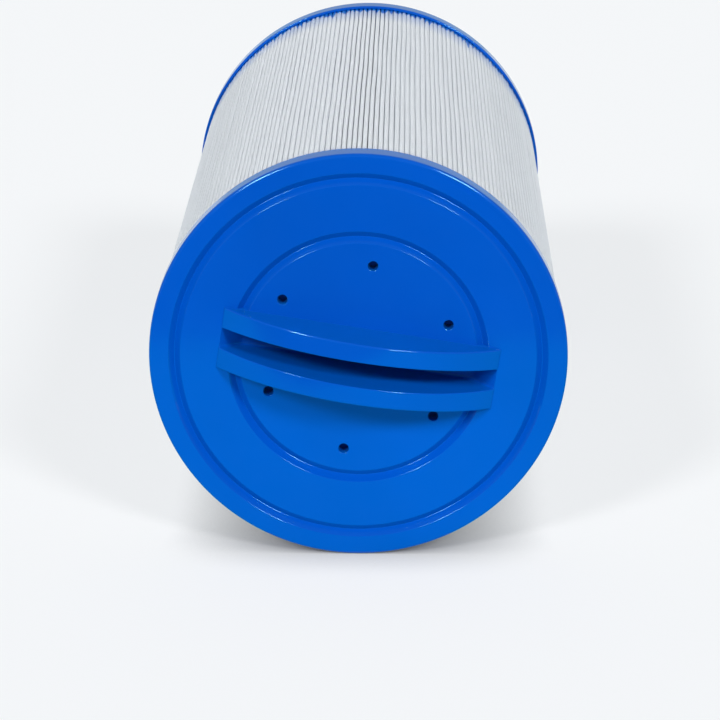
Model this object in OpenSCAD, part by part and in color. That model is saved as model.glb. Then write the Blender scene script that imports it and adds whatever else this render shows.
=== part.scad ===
// Filter cartridge for a pool or spa, lying on its side on a floor.
//
// Pieces are drawn upright about the Z axis, with the outer face of the bottom cap at z = 0, the
// threaded nipple below it and the handle on top. lay_down() then turns that upright frame to lie
// along Y: the handle end faces -Y, the nipple faces +Y, both caps rest on the floor at Z = 0, and
// the origin is on the floor under the middle of the length.

/* [Body] */
// Outer diameter of both end caps
cap_d = 125.4; // [110:0.1:160]
// Length from face to face of the two end caps
body_len = 237; // [150:1:400]
// Radius of the rounded outer edge of each cap face
edge_r = 1; // [0.4:0.1:1.4]
// Turn of the handle about the length of the cartridge, seen from the handle end
handle_turn = -8.8; // [-30:0.1:30]

/* [Top cap] */
// Thickness of the top cap at its rim
top_cap_h = 7.6; // [7:0.1:14]
// Depth that the pleats and the core are cast into the top cap
top_embed = 1.1; // [0.5:0.1:1.2]
// Radius of the bottom line of the inner ring groove
inner_groove_r = 37.4; // [33:0.1:42]
// Radius of the bottom line of the outer ring groove
outer_groove_r = 55.1; // [48:0.1:57]
// Depth of both ring grooves
groove_depth = 1.8; // [0.6:0.1:2.4]
// Width of both ring grooves at the cap face
groove_w = 3.6; // [2:0.1:4.8]
// Diameter of the small blind holes left by the mould pins
pin_hole_d = 3; // [2:0.1:4]
// Depth of the pin holes
pin_hole_depth = 5; // [2:0.1:5.5]
// Number of small blind holes
pin_holes = 6; // [3:1:8]

/* [Handle] */
// Length of the two half-moon fins
handle_len = 83.2; // [60:0.1:90]
// Height of the fins over the cap face, at their middle
handle_h = 16.5; // [10:0.1:25]
// Radius of the arched outer edge of the fins
handle_arc_r = 61.5; // [58:0.1:90]
// Width over both fins, at the cap face
handle_w = 19; // [16:0.1:26]
// Width over both fins, at the top of the arch
handle_top_w = 18.7; // [15:0.1:26]
// Width of the slot between the fins, at the cap face
slot_w = 6.2; // [5:0.1:9]
// Width of the slot between the fins, at the top of the arch
slot_top_w = 7.6; // [5:0.1:10]
// Depth of the slot below the cap face
slot_depth = 5.5; // [1:0.1:5.5]
// Length over which each end of the slot slopes down to its floor
slot_slope_len = 6.6; // [4:0.1:10]

/* [Filter pack] */
// Outer radius of the pleats
pleat_out_r = 61.7; // [50:0.1:62]
// Inner radius of the pleats
pleat_in_r = 30.6; // [30.4:0.1:40]
// Thickness of the bonded seam
seam_t = 1.6; // [0.8:0.1:3]
// Place of the seam around the pack, seen from the handle end
seam_at = 248; // [0:1:360]
// Gap between the seam and each round side of the pack
seam_gap = 1; // [0.5:0.1:3]

/* [Core] */
// Inner radius of the core tube
core_in_r = 27; // [20:0.1:28]
// Outer radius of the core tube
core_out_r = 30; // [28.5:0.1:30]
// Number of windows around the core tube
windows_round = 12; // [6:1:16]
// Number of rows of windows along the core tube
window_rows = 12; // [4:1:16]
// Width of a window
window_w = 9; // [5:0.1:10]
// Part of each row's height that its window takes
window_part = 0.66; // [0.4:0.01:0.8]
// Height of the plain band at each end of the core tube
core_band = 8; // [5:0.5:20]

/* [Bottom cap and nipple] */
// Thickness of the bottom cap at its rim
bottom_cap_h = 7.6; // [7:0.1:16]
// Depth that the pleats are cast into the bottom cap
bottom_embed = 1.1; // [0.5:0.1:2]
// Outer diameter of the thread
thread_d = 47.6; // [45:0.1:60]
// Diameter of the nipple below the thread
shank_d = 43.6; // [41:0.1:44.5]
// Diameter of the water outlet through the nipple
outlet_d = 37; // [25:0.1:38]
// Length of the nipple outside the bottom cap
nipple_len = 25; // [15:0.5:40]
// Length of the plain neck between the cap and the thread
neck_len = 2.5; // [1:0.1:5]
// Diameter of the flange cast into the bottom cap
flange_d = 66; // [60:0.5:80]
// Thickness of the flange
flange_t = 3.5; // [2:0.1:4]
// Number of notches that lock the flange in the casting
flange_notches = 6; // [3:1:12]

/* [Hidden] */
$fn = 96;
eps = 0.05;
cap_r = cap_d / 2;
rear_edge_r = 0.4;

// Heights of the seats that hold the pleats and the core.
bottom_seat_z = bottom_cap_h - bottom_embed;
top_seat_z = body_len - top_cap_h + top_embed;
pack_len = top_seat_z - bottom_seat_z;

// Middle of the whole length, from the tip of the nipple to the top of the handle.
mid_z = (body_len + handle_h - nipple_len) / 2;

// Holes are over the middle of the core wall, half a step away from the line of the handle.
pin_hole_r = pin_hole_d / 2;
pin_circle_r = 28.9;

module lay_down() {
    translate([0, mid_z, cap_r])
        rotate([90, 0, 0])
            children();
}

// Points of a quarter circle about [cx, cy], from angle a0 onwards.
function quarter(cx, cy, r, a0, steps = 6) =
    [for (i = [0 : steps]) [cx + r * cos(a0 + 90 * i / steps), cy + r * sin(a0 + 90 * i / steps)]];

// A round disc with its lower outer edge rounded by r_low and its upper one by r_high.
module rounded_disc(h, r_low, r_high) {
    rotate_extrude()
        polygon(concat(
            [[0, 0]],
            quarter(cap_r - r_low, r_low, r_low, -90),
            quarter(cap_r - r_high, h - r_high, r_high, 0),
            [[0, h]]));
}

module ring(r_in, r_out, h) {
    difference() {
        cylinder(r = r_out, h = h);
        translate([0, 0, -eps])
            cylinder(r = r_in, h = h + 2 * eps);
    }
}

// A V-shaped groove in the cap face, whose bottom line has radius r. It stops at the sides of the
// handle.
module ring_groove(r) {
    rise = groove_depth / 2;
    half = groove_w / 2 * (groove_depth + rise) / groove_depth;
    difference() {
        rotate_extrude()
            polygon([[r - half, rise], [r, -groove_depth], [r + half, rise]]);
        rotate([0, 0, handle_turn])
            cube([handle_len, handle_w, 3 * groove_depth], center = true);
    }
}

// Prism that runs along X, with a cross-section in Y and Z.
module along_x(length) {
    rotate([90, 0, 90])
        linear_extrude(length, center = true)
            children();
}

// Prism that runs along Y, with a cross-section in X and Z.
module along_y(length) {
    rotate([90, 0, 0])
        linear_extrude(length, center = true)
            children();
}

// Both fins as one arched block that stands on the cap face and is rooted in the cap.
module handle_block() {
    root = 1;
    intersection() {
        along_y(handle_w + 2)
            intersection() {
                translate([0, handle_h - handle_arc_r])
                    circle(r = handle_arc_r, $fn = 180);
                translate([-handle_len / 2, -root])
                    square([handle_len, handle_h + root + 1]);
            }
        along_x(handle_len + 2)
            polygon([
                [-handle_w / 2, -root],
                [handle_w / 2, -root],
                [handle_w / 2, 0],
                [handle_top_w / 2, handle_h],
                [-handle_top_w / 2, handle_h],
                [-handle_w / 2, 0]]);
    }
}

// The slot between the fins, which tapers towards its floor and slopes down from both ends.
module handle_slot() {
    above = 3;
    past_end = 0.5;
    end_step = 0.45;
    slope_top = [handle_len / 2 + past_end, end_step];
    lean = (slot_top_w - slot_w) / 2 / handle_h;
    floor_half = slot_w / 2 - lean * slot_depth;
    top_half = slot_w / 2 + lean * (handle_h + above);
    floor_len = handle_len - 2 * slot_slope_len;
    intersection() {
        along_x(handle_len + 2)
            polygon([
                [-floor_half, -slot_depth],
                [floor_half, -slot_depth],
                [top_half, handle_h + above],
                [-top_half, handle_h + above]]);
        along_y(slot_top_w + above)
            polygon([
                [-floor_len / 2, -slot_depth],
                [floor_len / 2, -slot_depth],
                slope_top,
                [slope_top.x, handle_h + above],
                [-slope_top.x, handle_h + above],
                [-slope_top.x, end_step]]);
    }
}

// Cast cap with the handle. The core and the pleats sit in the round recess under it, about a plug
// that fills the end of the core's bore.
module top_cap() {
    color([0.0, 0.36, 0.80])
        difference() {
            union() {
                translate([0, 0, body_len - top_cap_h])
                    rounded_disc(top_cap_h, rear_edge_r, edge_r);
                translate([0, 0, body_len])
                    rotate([0, 0, handle_turn])
                        handle_block();
            }
            translate([0, 0, top_seat_z - top_embed - 1])
                ring(core_in_r, pleat_out_r, top_embed + 1);
            translate([0, 0, body_len])
                rotate([0, 0, handle_turn])
                    handle_slot();
            translate([0, 0, body_len]) {
                ring_groove(inner_groove_r);
                ring_groove(outer_groove_r);
            }
            for (i = [0 : pin_holes - 1])
                rotate([0, 0, handle_turn + (i + 0.5) * 360 / pin_holes])
                    translate([pin_circle_r, 0, body_len - pin_hole_depth])
                        cylinder(r = pin_hole_r, h = pin_hole_depth + eps, $fn = 24);
        }
}

// Flat bar that lies in the pack from seat to seat, and reaches past both seats by past.
module seam_bar(past = 0) {
    seam_w = pleat_out_r - pleat_in_r - 2 * seam_gap;
    rotate([0, 0, seam_at])
        translate([pleat_in_r + seam_gap, -seam_t / 2, bottom_seat_z - past])
            cube([seam_w, seam_t, pack_len + 2 * past]);
}

// The folded sheet, as the plain ring that its pleats fill.
module pleated_media() {
    color([0.93, 0.94, 0.95])
        difference() {
            translate([0, 0, bottom_seat_z])
                ring(pleat_in_r, pleat_out_r, pack_len);
            seam_bar(past = 1);
        }
}

// Bonded double pleat that closes the ring.
module media_seam() {
    color([0.86, 0.87, 0.86])
        seam_bar();
}

// Perforated tube from seat to seat.
module core_tube() {
    row_h = (pack_len - 2 * core_band) / window_rows;
    window_h = row_h * window_part;
    color([0.90, 0.90, 0.87])
        difference() {
            translate([0, 0, bottom_seat_z])
                ring(core_in_r, core_out_r, pack_len);
            for (row = [0 : window_rows - 1], i = [0 : windows_round - 1])
                translate([0, 0, bottom_seat_z + core_band + (row + 0.5) * row_h])
                    rotate([0, 0, i * 360 / windows_round])
                        translate([core_in_r - 2, -window_w / 2, -window_h / 2])
                            cube([core_out_r - core_in_r + 4, window_w, window_h]);
        }
}

// Outline of the flange, with notches around its edge.
module flange_outline() {
    notch_w = 6;
    notch_depth = 2.4;
    difference() {
        circle(d = flange_d);
        for (i = [0 : flange_notches - 1])
            rotate(i * 360 / flange_notches)
                translate([flange_d / 2 - notch_depth, -notch_w / 2])
                    square([notch_depth + 1, notch_w]);
    }
}

// Cast cap around the nipple. The pleats sit in the round recess on its inner side.
module bottom_cap() {
    color([0.0, 0.36, 0.80])
        difference() {
            rounded_disc(bottom_cap_h, edge_r, rear_edge_r);
            translate([0, 0, -1])
                cylinder(d = shank_d, h = bottom_cap_h + 2);
            translate([0, 0, bottom_seat_z - flange_t])
                linear_extrude(flange_t + eps)
                    flange_outline();
            translate([0, 0, bottom_seat_z])
                cylinder(r = pleat_out_r, h = bottom_embed + 1);
        }
}

// Threaded outlet. The thread is the plain cylinder that its crests touch.
module threaded_nipple() {
    shank_r = shank_d / 2;
    thread_r = thread_d / 2;
    bevel = thread_r - shank_r;
    color([0.93, 0.93, 0.91])
        difference() {
            union() {
                translate([0, 0, bottom_seat_z - flange_t])
                    linear_extrude(flange_t)
                        flange_outline();
                rotate_extrude()
                    polygon([
                        [0, -nipple_len],
                        [shank_r, -nipple_len],
                        [thread_r, -nipple_len + bevel],
                        [thread_r, -neck_len - bevel / 2],
                        [shank_r, -neck_len],
                        [shank_r, bottom_seat_z],
                        [0, bottom_seat_z]]);
            }
            translate([0, 0, -nipple_len - 1])
                cylinder(d = outlet_d, h = nipple_len + bottom_seat_z + 2);
        }
}

lay_down() top_cap();
lay_down() pleated_media();
lay_down() media_seam();
lay_down() core_tube();
lay_down() bottom_cap();
lay_down() threaded_nipple();
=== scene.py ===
import math
import random

import bpy
from bpy.props import FloatProperty, FloatVectorProperty, IntProperty, PointerProperty
from bpy.types import Operator, Panel, PropertyGroup
from mathutils import Matrix, Vector


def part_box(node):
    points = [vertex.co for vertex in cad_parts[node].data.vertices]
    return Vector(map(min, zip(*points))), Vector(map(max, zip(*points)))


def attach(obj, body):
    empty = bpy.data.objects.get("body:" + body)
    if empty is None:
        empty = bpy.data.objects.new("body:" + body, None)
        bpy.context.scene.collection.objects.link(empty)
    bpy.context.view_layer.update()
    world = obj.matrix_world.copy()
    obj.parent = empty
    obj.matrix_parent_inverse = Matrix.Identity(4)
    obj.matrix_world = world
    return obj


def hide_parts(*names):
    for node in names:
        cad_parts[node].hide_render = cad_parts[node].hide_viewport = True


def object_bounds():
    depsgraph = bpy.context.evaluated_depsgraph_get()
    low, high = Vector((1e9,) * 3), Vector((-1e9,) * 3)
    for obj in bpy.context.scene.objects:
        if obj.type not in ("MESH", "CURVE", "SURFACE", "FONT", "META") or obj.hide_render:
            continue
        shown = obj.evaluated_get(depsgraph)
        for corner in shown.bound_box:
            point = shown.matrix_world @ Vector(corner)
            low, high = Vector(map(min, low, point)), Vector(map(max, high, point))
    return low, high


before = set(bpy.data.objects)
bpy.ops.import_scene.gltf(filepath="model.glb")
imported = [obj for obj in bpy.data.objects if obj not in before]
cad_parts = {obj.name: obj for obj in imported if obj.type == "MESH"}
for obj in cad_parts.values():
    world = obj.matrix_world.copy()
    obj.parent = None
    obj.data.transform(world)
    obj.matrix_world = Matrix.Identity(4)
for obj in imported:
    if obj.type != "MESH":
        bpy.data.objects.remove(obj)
CAD_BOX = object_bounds()

bl_info = {
    "name": "Filter Cartridge",
    "version": (1, 0, 0),
    "blender": (4, 5, 0),
    "location": "View3D > Sidebar > Cartridge",
    "description": "Builds the finished pieces of a pleated spa filter cartridge around its frame",
    "category": "Add Mesh",
}

MM = 0.001
TURN = 2 * math.pi
WELD = 1e-6  # points nearer than this are one

# Pieces are modelled upright in metres about the Z axis, with the outer face of the bottom cap at
# z = 0 and the handle on top, and are then laid down along Y as the frame lies.
CAP_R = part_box("bottom_cap")[1].x
SEAL_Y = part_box("bottom_cap")[1].y
NIPPLE_Z = SEAL_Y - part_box("threaded_nipple")[1].y
SEATS_Z = (SEAL_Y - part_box("pleated_media")[1].y, SEAL_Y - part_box("pleated_media")[0].y)
PLEATS_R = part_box("pleated_media")[1].x
CORE_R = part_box("core_tube")[1].x
BOTTOM_RIM_Z = SEAL_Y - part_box("bottom_cap")[0].y
TOP_RIM_Z = SEAL_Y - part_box("top_cap")[1].y
HANDLE_TOP_Z = SEAL_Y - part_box("top_cap")[0].y
SEAM_AT = 248  # degrees round the pack from +X, with the top of the lying pack at 90
LAID_DOWN = Matrix.Translation((0, SEAL_Y, CAP_R)) @ Matrix.Rotation(math.radians(90), 4, "X")


# ---------------------------------------------------------------- sizes and colours


def length(name, description, default):
    """A length property, given in millimetres and kept in metres."""
    return FloatProperty(
        name=name, description=description, default=default * MM, min=0, unit="LENGTH", precision=5
    )


def colour(name, description, default):
    """A colour property, given as linear red, green and blue."""
    return FloatVectorProperty(
        name=name, description=description, default=default, size=3, min=0, max=1, subtype="COLOR"
    )


class CapSizes(PropertyGroup):
    """Sizes of the two cast caps and of the handle"""

    edge_r: length("Edge radius", "Rounding of the outer edge of each cap face", 1.0)
    rear_edge_r: length("Rear edge radius", "Rounding of the edge next to the pleats", 0.4)
    inner_groove_r: length("Inner groove", "Radius of the bottom of the inner ring groove", 37.4)
    outer_groove_r: length("Outer groove", "Radius of the bottom of the outer ring groove", 55.1)
    groove_depth: length("Groove depth", "Depth of the ring grooves", 1.8)
    groove_w: length("Groove width", "Width of a ring groove at the cap face", 3.6)
    lip_r: length("Groove lip", "Rounding of both lips of a ring groove", 0.28)
    pin_hole_r: length("Pin hole radius", "Radius of the blind holes left by the mould pins", 1.5)
    pin_hole_depth: length("Pin hole depth", "Depth of the blind holes", 5.0)
    pin_circle_r: length("Pin circle", "Radius of the circle that the blind holes lie on", 28.9)
    handle_h: length("Handle height", "Height of the fins over the cap face, at their middle", 16.5)
    handle_len: length("Handle length", "Length of the fins", 83.2)
    handle_arc_r: length("Handle arch", "Radius of the arched outer edge of the fins", 61.5)
    handle_w: length("Handle width", "Width over both fins at the cap face", 19.0)
    handle_top_w: length("Handle top width", "Width over both fins at the top", 18.7)
    slot_w: length("Slot width", "Width of the slot between the fins at the cap face", 6.2)
    slot_top_w: length("Slot top width", "Width of the slot between the fins at the top", 7.6)
    slot_depth: length("Slot depth", "Depth of the slot below the cap face", 5.5)
    slot_slope: length("Slot slope", "Length over which each end of the slot slopes down", 6.6)
    handle_turn: FloatProperty(
        name="Handle turn",
        description="Turn of the handle about the cartridge",
        default=math.radians(-8.8),
        subtype="ANGLE",
    )


class PackSizes(PropertyGroup):
    """Sizes of the folded sheet"""

    pleats: IntProperty(name="Pleats", description="Number of folds", default=230, min=40, max=300)
    sheet_t: length("Sheet thickness", "Thickness of the spunbonded sheet", 0.4)
    tip_w: length("Tip width", "Width of an outer fold over the middle of the sheet", 1.25)
    root_w: length("Root width", "Width of an inner fold over the middle of the sheet", 0.4)
    wander: length("Wander", "How far folds stray sideways together along the pack", 0.2)


class NippleSizes(PropertyGroup):
    """Sizes of the threaded nipple"""

    shank_r: length("Shank radius", "Radius of the nipple below the thread", 21.8)
    thread_r: length("Thread radius", "Radius over the crests of the thread", 23.8)
    outlet_r: length("Outlet radius", "Radius of the water outlet", 18.5)
    pitch: length("Pitch", "Rise of the thread in one turn", 5.0)
    neck: length("Neck", "Length of the plain neck between the cap and the thread", 2.5)
    flange_r: length("Flange radius", "Radius of the flange cast into the cap", 33.0)
    flange_t: length("Flange thickness", "Thickness of the flange", 3.5)


class Finish(PropertyGroup):
    """Colours of the materials"""

    urethane: colour("Urethane", "Colour of the cast caps", (0.0, 0.065, 0.40))
    fabric: colour("Fabric", "Colour of the pleated sheet", (0.66, 0.685, 0.735))
    resin: colour("Resin", "Colour of the resin that soaks into the sheet", (0.0, 0.13, 0.55))
    plastic: colour("Moulded plastic", "Colour of the core and the nipple", (0.80, 0.80, 0.76))
    bond: colour("Bond", "Colour of the bonded seam", (0.74, 0.75, 0.74))
    floor: colour("Floor", "Colour of the floor", (0.25, 0.25, 0.252))


# ---------------------------------------------------------------- modelling helpers


def only(obj):
    """Selects obj alone, in object mode."""
    if bpy.context.object and bpy.context.object.mode != "OBJECT":
        bpy.ops.object.mode_set(mode="OBJECT")
    bpy.ops.object.select_all(action="DESELECT")
    obj.select_set(True)
    bpy.context.view_layer.objects.active = obj


def edit(obj, mode="VERT"):
    """Opens obj for editing, with all of it selected."""
    only(obj)
    bpy.ops.object.mode_set(mode="EDIT")
    bpy.ops.mesh.select_mode(type=mode)
    bpy.ops.mesh.select_all(action="SELECT")


def done(obj):
    """Closes editing."""
    bpy.ops.object.mode_set(mode="OBJECT")
    return obj


def pick_faces(obj, test):
    """Leaves edit mode, selects only the faces that pass the test, and goes back."""
    bpy.ops.mesh.select_all(action="DESELECT")
    bpy.ops.object.mode_set(mode="OBJECT")
    for face in obj.data.polygons:
        face.select = bool(test(face))
    bpy.ops.object.mode_set(mode="EDIT")


def rounded(corners, steps=5):
    """Points of an open outline, whose inner corners (x, z, radius) are rounded by arcs."""
    points = [Vector(corners[0][:2])]
    for before, corner, after in zip(corners, corners[1:], corners[2:]):
        at, r = Vector(corner[:2]), corner[2]
        if r == 0:
            points.append(at)
            continue
        a = (Vector(before[:2]) - at).normalized()
        b = (Vector(after[:2]) - at).normalized()
        half = a.angle(b) / 2
        centre = at + (a + b).normalized() * (r / math.sin(half))
        start = at + a * (r / math.tan(half)) - centre
        end = at + b * (r / math.tan(half)) - centre
        sweep = start.angle_signed(end)
        for i in range(steps + 1):
            points.append(centre + Matrix.Rotation(-sweep * i / steps, 2) @ start)
    points.append(Vector(corners[-1][:2]))
    return points


def draw_chain(name, points):
    """Draws an edge chain through the points (x, z) by extruding one vertex from point to point."""
    bpy.ops.object.select_all(action="DESELECT")
    bpy.ops.mesh.primitive_plane_add(size=MM)
    obj = bpy.context.object
    obj.name = obj.data.name = name
    edit(obj)
    bpy.ops.mesh.merge(type="CENTER")
    bpy.ops.transform.translate(value=(points[0].x, 0, points[0].y))
    for a, b in zip(points, points[1:]):
        bpy.ops.mesh.extrude_region_move(
            TRANSFORM_OT_translate={"value": (b.x - a.x, 0, b.y - a.y)}
        )
    return done(obj)


def spin(obj, steps=192):
    """Turns an edge chain about the Z axis into a closed skin."""
    edit(obj)
    bpy.ops.mesh.spin(steps=steps, angle=TURN, center=(0, 0, 0), axis=(0, 0, 1))
    bpy.ops.mesh.select_all(action="SELECT")
    bpy.ops.mesh.remove_doubles(threshold=WELD)
    bpy.ops.mesh.normals_make_consistent(inside=False)
    return done(obj)


def merge_disc(obj, z, r):
    """Makes the flat fan of faces at height z within radius r one face."""
    edit(obj, "FACE")

    nearly, upright = 0.01 * MM, 0.999

    def inside(face):
        centre = face.center
        level = abs(centre.z - z) < nearly and abs(face.normal.z) > upright
        return level and math.hypot(centre.x, centre.y) < r

    pick_faces(obj, inside)
    bpy.ops.mesh.dissolve_faces()
    return done(obj)


def join(objects, name):
    """Joins the objects into the first one."""
    only(objects[0])
    for obj in objects:
        obj.select_set(True)
    bpy.ops.object.join()
    objects[0].name = objects[0].data.name = name
    return objects[0]


def apply(obj, kind, **settings):
    """Adds a modifier with its settings and applies it."""
    only(obj)
    modifier = obj.modifiers.new(kind.title(), kind)
    for key, value in settings.items():
        setattr(modifier, key, value)
    bpy.ops.object.modifier_apply(modifier=modifier.name)


def cut(obj, tool, operation="DIFFERENCE"):
    """Cuts obj with a tool, or unites the two, and throws the tool away."""
    apply(obj, "BOOLEAN", object=tool, operation=operation, solver="EXACT")
    bpy.data.objects.remove(tool)


def place(obj, location):
    """Moves obj and keeps the move in its mesh."""
    obj.location = location
    only(obj)
    bpy.ops.object.transform_apply(location=True, rotation=False, scale=False)


def turn(obj, angle):
    """Turns obj about the Z axis in its mesh."""
    only(obj)
    obj.rotation_euler = (0, 0, angle)
    bpy.ops.object.transform_apply(location=False, rotation=True, scale=False)
    return obj


def finish_piece(obj, paint, node, angle=35):
    """Smooths the piece, lays it down in its place and lets it stand for its node."""
    only(obj)
    bpy.ops.object.shade_smooth_by_angle(angle=math.radians(angle))
    apply(obj, "WEIGHTED_NORMAL", keep_sharp=True)
    obj.matrix_world = LAID_DOWN
    bpy.ops.object.transform_apply(location=True, rotation=True, scale=True)
    obj.data.materials.clear()
    obj.data.materials.append(paint)
    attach(obj, "root")
    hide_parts(node)


def refinish_node(node, paint):
    """Gives its finish to a CAD node whose shape stays as it is."""
    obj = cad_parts[node]
    obj.data.materials.clear()
    obj.data.materials.append(paint)


# ---------------------------------------------------------------- material helpers


class Nodes:
    """Adds nodes to a new material, in the order that a maker lays them out."""

    def __init__(self, name):
        self.material = bpy.data.materials.new(name)
        self.material.use_nodes = True
        self.tree = self.material.node_tree
        self.shader = self.tree.nodes["Principled BSDF"]
        self.place = self.add("ShaderNodeTexCoord").outputs["Object"]

    def add(self, kind, settings=None, **inputs):
        """Adds a node with its settings, and feeds its inputs."""
        node = self.tree.nodes.new(kind)
        for key, value in (settings or {}).items():
            setattr(node, key, value)
        for key, value in inputs.items():
            self.feed(node, key.replace("_", " "), value)
        return node

    def feed(self, node, key, value):
        """Links or sets an input, given by its name or as i and its number."""
        numbered = key[0] == "i" and key[1:].isdigit()
        socket = node.inputs[int(key[1:]) if numbered else key]
        if isinstance(value, bpy.types.NodeSocket):
            self.tree.links.new(value, socket)
        else:
            socket.default_value = value

    def noise(self, scale, detail=3, rough=0.55, at=None):
        """A cloud pattern in the piece's own place, or at another one."""
        node = self.add("ShaderNodeTexNoise", Scale=scale, Detail=detail, Roughness=rough)
        self.feed(node, "Vector", at or self.place)
        return node.outputs["Fac"]

    def math(self, operation, a, b):
        node = self.add("ShaderNodeMath", {"operation": operation}, i0=a, i1=b)
        return node.outputs[0]

    def spread(self, value, low, high, to_low=0.0, to_high=1.0, smooth=False):
        """Spreads the stretch of a value from low to high over another stretch."""
        kind = "SMOOTHSTEP" if smooth else "LINEAR"
        node = self.add("ShaderNodeMapRange", {"interpolation_type": kind})
        names = ("Value", "From Min", "From Max", "To Min", "To Max")
        for key, it in zip(names, (value, low, high, to_low, to_high)):
            self.feed(node, key, it)
        return node.outputs["Result"]

    def blend(self, factor, a, b):
        """Mixes colour a into colour b by the factor."""
        node = self.add("ShaderNodeMix", {"data_type": "RGBA"})
        self.feed(node, "i0", factor)
        self.feed(node, "i6", a)
        self.feed(node, "i7", b)
        return node.outputs[2]

    def bump(self, height, strength, distance, normal=None):
        """A bump from a height, over an earlier bump if there is one."""
        node = self.add("ShaderNodeBump", Height=height, Strength=strength, Distance=distance)
        if normal:
            self.feed(node, "Normal", normal)
        return node.outputs["Normal"]


def shade(rgb, factor):
    """A colour made lighter or darker, with its alpha."""
    return tuple(min(1.0, c * factor) for c in rgb) + (1.0,)


def urethane(name, tint):
    """Glossy cast polyurethane: even colour with a slight cloudiness, and a soft orange-peel skin."""
    n = Nodes(name)
    cloud = n.spread(n.noise(22, 2), 0.3, 0.7)
    n.feed(n.shader, "Base Color", n.blend(cloud, shade(tint, 0.95), shade(tint, 1.04)))
    haze = n.noise(160, 4, 0.6)
    n.feed(n.shader, "Roughness", n.spread(haze, 0.3, 0.7, 0.08, 0.13))
    n.shader.inputs["Specular Tint"].default_value = (0.35, 0.9, 1.0, 1.0)
    n.shader.inputs["Sheen Weight"].default_value = 0.22
    n.shader.inputs["Sheen Roughness"].default_value = 0.4
    n.shader.inputs["Sheen Tint"].default_value = (0.0, 0.5, 1.0, 1.0)
    waves = n.bump(n.noise(50, 2), 0.10, 0.2 * MM)
    peel = n.bump(n.noise(900, 2), 0.04, 0.1 * MM, waves)
    n.feed(n.shader, "Normal", peel)
    return n.material


def plastic(name, tint, rough):
    """Moulded plastic: a faintly uneven colour and a fine sparked grain."""
    n = Nodes(name)
    n.feed(n.shader, "Base Color", n.blend(n.noise(30, 3), shade(tint, 0.96), shade(tint, 1.03)))
    n.feed(n.shader, "Roughness", n.spread(n.noise(400, 3), 0.3, 0.7, rough - 0.06, rough + 0.06))
    n.feed(n.shader, "Normal", n.bump(n.noise(1500, 2), 0.15, 0.1 * MM))
    return n.material


def fabric(name, tint, stain):
    """Spunbonded sheet: a web of fine fibres, stained by the resin that crept up from the caps, and
    hazed with the resin's blue near the caps, partly resin and partly painted blue light reflected from
    the caps.
    """
    n = Nodes(name)
    x, y, z = n.add("ShaderNodeSeparateXYZ", Vector=n.place).outputs
    fibre = n.noise(1400, 4, 0.7)
    patch = n.noise(45, 3)
    cloth = n.blend(n.spread(patch, 0.3, 0.7), shade(tint, 0.97), shade(tint, 1.02))
    cloth = n.blend(n.spread(fibre, 0.35, 0.65), cloth, shade(tint, 1.06))
    # The stain's reach depends only on the place round the pack, so its teeth run along the folds.
    # It reaches a third as far from the top cap as from the bottom one.
    round_pack = n.add("ShaderNodeCombineXYZ", X=x, Y=0.0, Z=z).outputs[0]
    teeth = n.spread(n.noise(600, 1, at=round_pack), 0.38, 0.70, 0.8 * MM, 6 * MM)
    long_teeth = n.spread(n.noise(260, 1, at=round_pack), 0.57, 0.70, 0.0, 9 * MM)
    reach = n.math("ADD", teeth, long_teeth)
    from_bottom = n.math("SUBTRACT", SEAL_Y - BOTTOM_RIM_Z, y)
    from_top = n.math("MULTIPLY", n.math("SUBTRACT", y, SEAL_Y - TOP_RIM_Z), 3.0)
    depth = n.math("MINIMUM", from_bottom, from_top)
    past = n.math("SUBTRACT", depth, reach)
    soaked = n.spread(past, -0.6 * MM, 1.2 * MM, 1.0, 0.0, smooth=True)
    # Near each cap the sheet fades towards the resin's blue: partly resin haze, partly painted blue
    # light reflected from the caps.
    haze = n.spread(depth, 0.0, 24 * MM, 0.5, 0.0, smooth=True)
    resin_stain_and_painted_bounce = n.math("MAXIMUM", soaked, haze)
    n.feed(n.shader, "Base Color", n.blend(resin_stain_and_painted_bounce, cloth, stain))
    n.feed(n.shader, "Roughness", n.spread(resin_stain_and_painted_bounce, 0.0, 1.0, 0.9, 0.35))
    n.feed(n.shader, "Normal", n.bump(fibre, 0.35, 0.2 * MM))
    n.shader.inputs["Subsurface Weight"].default_value = 0.8
    n.shader.inputs["Subsurface Radius"].default_value = (1.0, 1.0, 1.0)
    n.shader.inputs["Subsurface Scale"].default_value = 2.0 * MM
    return n.material


def light_table(name, tint):
    """A glowing white table, whose glow fades only close to the cartridge: a painted contact shadow."""
    n = Nodes(name)
    # Ambient occlusion dims the table's glow near the cartridge, which paints its contact shadow.
    painted_shadow_ao = n.add("ShaderNodeAmbientOcclusion", {"samples": 12}, Distance=0.026).outputs["AO"]
    n.shader.inputs["Emission Color"].default_value = (0.97, 0.985, 1.0, 1.0)
    n.feed(n.shader, "Emission Strength", n.spread(painted_shadow_ao, 0.12, 0.88, 0.09, 0.67))
    n.shader.inputs["Specular IOR Level"].default_value = 0.0
    n.feed(n.shader, "Base Color", n.blend(n.noise(3, 2), shade(tint, 0.995), shade(tint, 1.005)))
    n.feed(n.shader, "Roughness", n.spread(n.noise(40, 2), 0.3, 0.7, 0.85, 0.95))
    return n.material


def matt_card(name, tint, glow):
    """A matt, nearly black card, which glows in its own tint, to paint a reflection on glossy pieces.
    """
    n = Nodes(name)
    card_black = (0.01, 0.01, 0.01)
    n.feed(n.shader, "Base Color", n.blend(n.noise(5, 2), shade(card_black, 1), shade(card_black, 2)))
    n.shader.inputs["Roughness"].default_value = 1.0
    n.shader.inputs["Specular IOR Level"].default_value = 0.0
    n.shader.inputs["Emission Color"].default_value = tint + (1.0,)
    n.shader.inputs["Emission Strength"].default_value = glow
    return n.material


def material(name, make, *values):
    """The material of this name, made the first time that it is asked for."""
    return bpy.data.materials.get(name) or make(name, *values)


# ---------------------------------------------------------------- the cast caps


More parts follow.
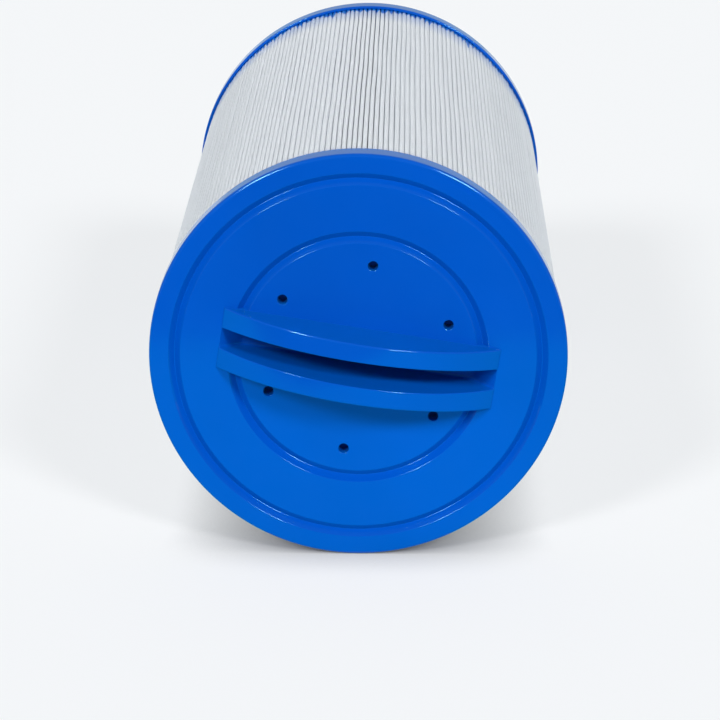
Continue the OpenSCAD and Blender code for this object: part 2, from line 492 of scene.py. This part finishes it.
def groove(sizes, r):
    """Corners of one ring groove in the face, from its inner lip to its outer one."""
    half, valley_r = sizes.groove_w / 2, 0.2 * MM
    return [
        (r - half, 0, sizes.lip_r),
        (r, -sizes.groove_depth, valley_r),
        (r + half, 0, sizes.lip_r),
    ]


def handle_section(sizes, u):
    """Points (across, up) of the handle's skin at u along it, from one foot to the other."""
    arch = sizes.handle_h - sizes.handle_arc_r + math.sqrt(sizes.handle_arc_r**2 - u**2)
    lean_out = (sizes.handle_w - sizes.handle_top_w) / 2 / sizes.handle_h
    lean_in = (sizes.slot_top_w - sizes.slot_w) / 2 / sizes.handle_h
    outside = lambda h: sizes.handle_w / 2 - lean_out * h
    inside = lambda h: sizes.slot_w / 2 + lean_in * h
    rise = (abs(u) - sizes.handle_len / 2 + sizes.slot_slope) / sizes.slot_slope
    # The slot's ends and the feet lie a little off the cap's face, so that no two faces coincide.
    floor = sizes.slot_depth * (max(0.0, rise) - 1) + 0.04 * MM
    foot_z = -0.02 * MM
    foot_r, edge_r, lip_r, pocket_r = 0.12 * MM, 0.6 * MM, 0.3 * MM, 0.8 * MM
    # Where the fins run out, the roundings shrink to nine tenths of the height that is left.
    fit_out = min(1, 0.9 * arch / (foot_r + edge_r))
    fit_in = min(1, 0.9 * (arch - floor) / (lip_r + pocket_r))
    half = rounded([
        (outside(0) + 2 * foot_r, foot_z, 0),
        (outside(foot_z), foot_z, foot_r * fit_out),
        (outside(arch), arch, edge_r * fit_out),
        (inside(arch), arch, lip_r * fit_in),
        (inside(floor), floor, pocket_r * fit_in),
        (0, floor, 0),
    ], steps=4)[1:]
    return half + [Vector((-p.x, p.y)) for p in reversed(half[:-1])]


def handle_block(sizes):
    """The two fins as one lofted skin, closed by walls and a bottom that root it in the cap."""
    across = len(handle_section(sizes, 0)) - 1
    along = 96
    bpy.ops.object.select_all(action="DESELECT")
    bpy.ops.mesh.primitive_grid_add(x_subdivisions=along, y_subdivisions=across, size=2)
    obj = bpy.context.object
    stations = {}
    for vertex in obj.data.vertices:
        i = round((vertex.co.x + 1) / 2 * along)
        j = round((vertex.co.y + 1) / 2 * across)
        # Stations lie closer together towards both ends, where the fins run out.
        u = math.sin((i / along - 0.5) * math.pi) * sizes.handle_len / 2
        if i not in stations:
            stations[i] = handle_section(sizes, u)
        point = stations[i][across - j]
        vertex.co = (u, point.x, point.y)
    edit(obj)
    bpy.ops.mesh.region_to_loop()
    root_z = -sizes.slot_depth - 1.5 * MM
    bpy.ops.mesh.extrude_region_move()
    bpy.ops.transform.resize(value=(1, 1, 0), center_override=(0, 0, root_z))
    bpy.ops.mesh.edge_face_add()
    bpy.ops.mesh.select_all(action="SELECT")
    bpy.ops.mesh.normals_make_consistent(inside=False)
    return done(obj)


def pin_hole_cutter(sizes):
    """Six pins with flared ends, which leave blind holes with a soft rim."""
    r, depth = sizes.pin_hole_r, sizes.pin_hole_depth
    count, rim_r, head = 6, 0.3 * MM, 2 * MM
    pins = []
    for i in range(count):
        chain = draw_chain("Pin", rounded([
            (0, -depth, 0), (r, -depth, 0), (r, 0, rim_r), (r + head, 0, 0),
            (r + head, head, 0), (0, head, 0),
        ]))
        pin = spin(chain, steps=32)
        angle = sizes.handle_turn + (i + 0.5) * TURN / count
        place(pin, (sizes.pin_circle_r * math.cos(angle), sizes.pin_circle_r * math.sin(angle), 0))
        pins.append(pin)
    return join(pins, "Pins")


class CARTRIDGE_OT_top_cap(Operator):
    """Cast the top cap with its grooves, its pin holes and the half-moon handle"""

    bl_idname = "cartridge.top_cap"
    bl_label = "Top Cap"

    def execute(self, context):
        sizes = context.scene.cap_sizes
        face_z = HANDLE_TOP_Z - sizes.handle_h
        seat, rim = SEATS_Z[1] - face_z, TOP_RIM_Z - face_z
        core_wall, seat_r, pocket_r = 3 * MM, 0.15 * MM, 0.4 * MM
        core_bore = CORE_R - core_wall
        corners = [(0, 0, 0)]
        corners += groove(sizes, sizes.inner_groove_r)
        corners += groove(sizes, sizes.outer_groove_r)
        corners += [
            (CAP_R, 0, sizes.edge_r),
            (CAP_R, rim, sizes.rear_edge_r),
            (PLEATS_R, rim, seat_r),
            (PLEATS_R, seat, 0),
            (core_bore, seat, 0),
            (core_bore, rim, pocket_r),
            (0, rim, 0),
        ]
        cap = spin(draw_chain("TopCap", rounded(corners)))
        merge_disc(cap, 0, sizes.inner_groove_r)
        merge_disc(cap, rim, core_bore)

        # A well is cut under the handle, and the handle's own skin then lines it as the slot.
        bpy.ops.object.select_all(action="DESELECT")
        bpy.ops.mesh.primitive_cube_add(size=1)
        well = context.object
        well.scale = (sizes.handle_len - 0.1 * MM, sizes.slot_w + 2 * MM, sizes.slot_depth + 3 * MM)
        well.location = (0, 0, (2 * MM - sizes.slot_depth) / 2)
        only(well)
        bpy.ops.object.transform_apply(location=True, rotation=False, scale=True)
        cut(cap, turn(well, sizes.handle_turn))
        cut(cap, turn(handle_block(sizes), sizes.handle_turn), "UNION")
        cut(cap, pin_hole_cutter(sizes))

        place(cap, (0, 0, face_z))
        paint = material("Cast Urethane", urethane, context.scene.finish.urethane)
        finish_piece(cap, paint, "top_cap")
        return {"FINISHED"}


class CARTRIDGE_OT_bottom_cap(Operator):
    """Cast the bottom cap around the nipple"""

    bl_idname = "cartridge.bottom_cap"
    bl_label = "Bottom Cap"

    def execute(self, context):
        sizes, nipple = context.scene.cap_sizes, context.scene.nipple_sizes
        seat, rim = SEATS_Z[0], BOTTOM_RIM_Z
        bore_start, seat_r = 0.6 * MM, 0.15 * MM
        points = rounded([
            (nipple.shank_r, bore_start, 0),
            (nipple.shank_r, 0, 0.5 * MM),
            (CAP_R, 0, sizes.edge_r),
            (CAP_R, rim, sizes.rear_edge_r),
            (PLEATS_R, rim, seat_r),
            (PLEATS_R, seat, 0),
            (nipple.flange_r, seat, 0),
            (nipple.flange_r, seat - nipple.flange_t, 0),
            (nipple.shank_r, seat - nipple.flange_t, 0),
            (nipple.shank_r, bore_start, 0),
        ])
        cap = spin(draw_chain("BottomCap", points))
        paint = material("Cast Urethane", urethane, context.scene.finish.urethane)
        finish_piece(cap, paint, "bottom_cap")
        return {"FINISHED"}


# ---------------------------------------------------------------- the nipple, core and pack


def thread_height(sizes, angle, z):
    """How far the thread stands over the shank at an angle and a height."""
    phase = (z / sizes.pitch - angle / TURN) % 1
    away = abs(phase - 0.5) * 2
    # The crest takes a quarter of the pitch and the root three tenths, with smooth flanks between.
    crest, root = 0.26, 0.70
    rise = min(1, max(0, (root - away) / (root - crest)))
    rise = rise * rise * (3 - 2 * rise)
    start, end = NIPPLE_Z + 0.8 * MM, -sizes.neck
    run_in, run_out = 3 * MM, 2 * MM
    fade = min(1, max(0, min((z - start) / run_in, (end - z) / run_out)))
    return (sizes.thread_r - sizes.shank_r) * rise * fade


class CARTRIDGE_OT_nipple(Operator):
    """Mould the threaded nipple with its flange"""

    bl_idname = "cartridge.nipple"
    bl_label = "Threaded Nipple"

    def execute(self, context):
        sizes = context.scene.nipple_sizes
        seat = SEATS_Z[0]
        points = rounded([
            (sizes.shank_r, -sizes.neck, 0),
            (sizes.shank_r, seat - sizes.flange_t, 0),
            (sizes.flange_r, seat - sizes.flange_t, 0),
            (sizes.flange_r, seat, 0),
            (sizes.outlet_r, seat, 0.6 * MM),
            (sizes.outlet_r, NIPPLE_Z, 0.5 * MM),
            (sizes.shank_r, NIPPLE_Z, 0.7 * MM),
            (sizes.shank_r, -sizes.neck, 0),
        ])
        low = points[-2].y
        rings = 110
        points[-1:] = [
            Vector((sizes.shank_r, low + (-sizes.neck - low) * (i + 1) / rings)) for i in range(rings)
        ]
        nipple = spin(draw_chain("ThreadedNipple", points), steps=128)
        for vertex in nipple.data.vertices:
            x, y, z = vertex.co
            if abs(math.hypot(x, y) - sizes.shank_r) < WELD and z < -sizes.neck:
                out = thread_height(sizes, math.atan2(y, x), z)
                vertex.co = (x * (1 + out / sizes.shank_r), y * (1 + out / sizes.shank_r), z)
        tint = context.scene.finish.plastic
        paint = material("Nipple Plastic", plastic, tint, 0.36)
        finish_piece(nipple, paint, "threaded_nipple")
        return {"FINISHED"}


class CARTRIDGE_OT_core(Operator):
    """Give the core tube its moulded finish"""

    bl_idname = "cartridge.core"
    bl_label = "Core Tube"

    def execute(self, context):
        tint = context.scene.finish.plastic
        refinish_node("core_tube", material("Core Plastic", plastic, tint, 0.5))
        return {"FINISHED"}


def fold_places(sizes, rng):
    """Start, middle and share of the width of each pleat, uneven as packed folds are."""
    uneven, seam_room = 0.09, 2.2 * MM
    shares = [1 + rng.uniform(-uneven, uneven) for _ in range(sizes.pleats)]
    gap = seam_room / PLEATS_R
    scale = (TURN - gap) / sum(shares)
    start = math.radians(SEAM_AT) + gap / 2
    folds = []
    for share in shares:
        folds.append((start, start + share * scale / 2, share))
        start += share * scale
    return folds


def stray(angle, z):
    """Sideways sway of the folds at a place, from -1 to 1, which folds next to each other share."""
    return (
        0.5 * math.sin(z / 0.041 + 3 * math.sin(angle * 2.0 + 1))
        + 0.3 * math.sin(z / 0.019 + 5 * math.sin(angle * 5.0))
        + 0.2 * math.sin(z / 0.011 + angle * 9.0)
    )


class CARTRIDGE_OT_pleats(Operator):
    """Fold the sheet into its ring of pleats"""

    bl_idname = "cartridge.pleats"
    bl_label = "Pleated Sheet"

    def execute(self, context):
        sizes = context.scene.pack_sizes
        rng = random.Random(7)
        folds = fold_places(sizes, rng)
        r_out = PLEATS_R - sizes.sheet_t / 2
        core_gap, deepest_short = 0.65 * MM, 0.28
        r_in = CORE_R + core_gap + sizes.sheet_t / 2
        tip, root = sizes.tip_w / 2, sizes.root_w / 2
        # One side of the crest: how far below the top and how far out each point lies, in half widths.
        flank = [(2.6, 0.80), (0.5, 1.0), (0.11, 0.76)]
        # Points across one fold, from its root over its crest: radius, side, whether it is at the root.
        section = [(r_in + root, -root, True), (r_in, 0, True), (r_in + root, root, True)]
        section += [(r_out - below * tip, -out * tip, False) for below, out in flank]
        section += [(r_out, 0, False)]
        section += [(r_out - below * tip, out * tip, False) for below, out in reversed(flank)]
        around, along = sizes.pleats * len(section), 20
        own = [(rng.uniform(0, TURN), rng.uniform(0.0, deepest_short)) for _ in folds]
        low, high = SEATS_Z
        bpy.ops.object.select_all(action="DESELECT")
        bpy.ops.mesh.primitive_grid_add(x_subdivisions=around - 1, y_subdivisions=along, size=2)
        pack = bpy.context.object
        pack.name = pack.data.name = "PleatedSheet"
        for vertex in pack.data.vertices:
            fold, k = divmod(round((vertex.co.x + 1) / 2 * (around - 1)), len(section))
            step = round((vertex.co.y + 1) / 2 * along) / along
            z = low + (high - low) * step
            radius, side, at_root = section[k]
            start, middle, share = folds[fold]
            phase, short = own[fold]
            free = math.sin(math.pi * step) ** 0.5
            if at_root:
                angle = start + side / radius
            else:
                sway = sizes.wander * stray(middle, z) + 0.03 * MM * math.sin(z / 0.023 + phase)
                # Folds are up to a fifth narrower along the very top, which opens the gaps there.
                opening = 1 - 0.20 * max(0.0, math.sin(middle)) ** 60
                angle = middle + (side * share * opening + sway * free) / radius
                radius -= short * MM * free * (0.6 + 0.4 * math.sin(z / 0.052 + phase))
            vertex.co = (radius * math.cos(angle), radius * math.sin(angle), z)
        edit(pack)
        bpy.ops.mesh.normals_make_consistent(inside=False)
        done(pack)
        apply(pack, "SOLIDIFY", thickness=sizes.sheet_t, offset=0, use_rim=True)
        finish = context.scene.finish
        paint = material("Spunbonded Sheet", fabric, finish.fabric, shade(finish.resin, 1))
        finish_piece(pack, paint, "pleated_media", angle=70)
        return {"FINISHED"}


class CARTRIDGE_OT_seam(Operator):
    """Give the seam that bonds the two end pleats of the sheet its finish"""

    bl_idname = "cartridge.seam"
    bl_label = "Seam"

    def execute(self, context):
        tint = context.scene.finish.bond
        refinish_node("media_seam", material("Seam Bond", plastic, tint, 0.55))
        return {"FINISHED"}


# ---------------------------------------------------------------- the stage


def softbox(name, direction, strength, spread):
    """A far round softbox, seen from the cartridge in a direction, with its spread as an angle."""
    light = bpy.data.lights.new(name, "SUN")
    light.energy, light.angle = strength, math.radians(spread)
    obj = bpy.data.objects.new(name, light)
    bpy.context.scene.collection.objects.link(obj)
    obj.location = Vector(direction).normalized() * 2
    obj.rotation_euler = (-Vector(direction)).to_track_quat("-Z", "Y").to_euler()


def studio_walls():
    """Pale walls: bright behind the cartridge and dimmer in front of it."""
    world = bpy.data.worlds.new("Studio")
    world.use_nodes = True
    tree = world.node_tree
    outlook = tree.nodes.new("ShaderNodeTexCoord")
    split = tree.nodes.new("ShaderNodeSeparateXYZ")
    ramp = tree.nodes.new("ShaderNodeMapRange")
    ramp.interpolation_type = "SMOOTHSTEP"
    front, back, dim, bright = -0.3, 0.9, 0.28, 0.6
    for key, value in (("From Min", front), ("From Max", back), ("To Min", dim), ("To Max", bright)):
        ramp.inputs[key].default_value = value
    tree.links.new(outlook.outputs["Generated"], split.inputs[0])
    tree.links.new(split.outputs["Y"], ramp.inputs["Value"])
    tree.links.new(ramp.outputs["Result"], tree.nodes["Background"].inputs["Strength"])
    tree.nodes["Background"].inputs["Color"].default_value = (0.86, 0.95, 1.0, 1.0)
    return world


def lay_card(name, x, y, paper):
    """Lays a card over a stretch of the floor, which no ray but a glossy one meets."""
    bpy.ops.object.select_all(action="DESELECT")
    bpy.ops.mesh.primitive_plane_add(size=1, location=(sum(x) / 2, sum(y) / 2, MM))
    card = bpy.context.object
    card.name = card.data.name = name.replace(" ", "")
    card.scale = (x[1] - x[0], y[1] - y[0], 1)
    bpy.ops.object.transform_apply(location=True, rotation=False, scale=True)
    card.data.materials.append(paper)
    card.visible_camera = card.visible_diffuse = card.visible_shadow = False
    card.visible_transmission = card.visible_volume_scatter = False


class CARTRIDGE_OT_stage(Operator):
    """Lay the floor and set the lights and the camera"""

    bl_idname = "cartridge.stage"
    bl_label = "Stage"

    def execute(self, context):
        scene = context.scene
        bpy.ops.object.select_all(action="DESELECT")
        bpy.ops.mesh.primitive_circle_add(vertices=96, radius=6, fill_type="NGON")
        ground = context.object
        ground.name = ground.data.name = "Floor"
        ground.data.materials.append(material("Pale Floor", light_table, scene.finish.floor))

        scene.world = studio_walls()
        for name, across in (("Left Softbox", -0.44), ("Right Softbox", 0.44)):
            softbox(name, (across, -0.72, 0.525), 2.1, 12)

        # Cards on the table show only in gloss, as painted reflections: glowing blue ones beside and
        # just in front of the cartridge paint a blue reflection on the caps, and a black one further in
        # front paints a dark reflection in the upper part of the top cap's face.
        blue = material("Blue Card", matt_card, (0.0, 0.8, 0.95), 0.95)
        black = material("Black Card", matt_card, (0.0, 0.0, 0.0), 0.0)
        face, near, far, back = CAD_BOX[0].y + scene.cap_sizes.handle_h, -0.34, -1.4, 0.05
        side, foot = 1.5, 0.03
        lay_card("Front Card", (-side, side), (near, face), blue)
        lay_card("Left Card", (-side, -foot), (face, back), blue)
        lay_card("Right Card", (foot, side), (face, back), blue)
        # The black card paints a dark reflection in the upper part of the top cap's face.
        lay_card("Black Card", (-side, side), (far, near), black)

        # A long lens looks a little down at the face of the top cap.
        camera = bpy.data.objects.new("Camera", bpy.data.cameras.new("Camera"))
        scene.collection.objects.link(camera)
        camera.data.sensor_width = 36
        camera.data.lens = 149.0
        camera.data.clip_start, camera.data.clip_end = 0.05, 50
        camera.location = (0.01542, -0.97215, 0.33103)
        camera.rotation_euler = tuple(math.radians(a) for a in (72.438, 0.0108, 0.9989))
        scene.camera = camera
        scene.view_settings.view_transform = "Standard"
        return {"FINISHED"}


# ---------------------------------------------------------------- add-on


class CARTRIDGE_PT_sidebar(Panel):
    """Lists the pieces of the cartridge"""

    bl_idname = "CARTRIDGE_PT_sidebar"
    bl_label = "Filter Cartridge"
    bl_space_type = "VIEW_3D"
    bl_region_type = "UI"
    bl_category = "Cartridge"

    def draw(self, context):
        for operator in OPERATORS:
            self.layout.operator(operator.bl_idname)


GROUPS = {"cap_sizes": CapSizes, "pack_sizes": PackSizes, "nipple_sizes": NippleSizes, "finish": Finish}
OPERATORS = (
    CARTRIDGE_OT_stage,
    CARTRIDGE_OT_top_cap,
    CARTRIDGE_OT_bottom_cap,
    CARTRIDGE_OT_nipple,
    CARTRIDGE_OT_core,
    CARTRIDGE_OT_pleats,
    CARTRIDGE_OT_seam,
)


def register():
    for name, group in GROUPS.items():
        bpy.utils.register_class(group)
        setattr(bpy.types.Scene, name, PointerProperty(type=group))
    for cls in (*OPERATORS, CARTRIDGE_PT_sidebar):
        bpy.utils.register_class(cls)


def unregister():
    for cls in reversed((*OPERATORS, CARTRIDGE_PT_sidebar)):
        bpy.utils.unregister_class(cls)
    for name, group in GROUPS.items():
        delattr(bpy.types.Scene, name)
        bpy.utils.unregister_class(group)


def main():
    register()
    for operator in OPERATORS:
        group, name = operator.bl_idname.split(".")
        getattr(getattr(bpy.ops, group), name)()


if __name__ == "__main__":
    main()
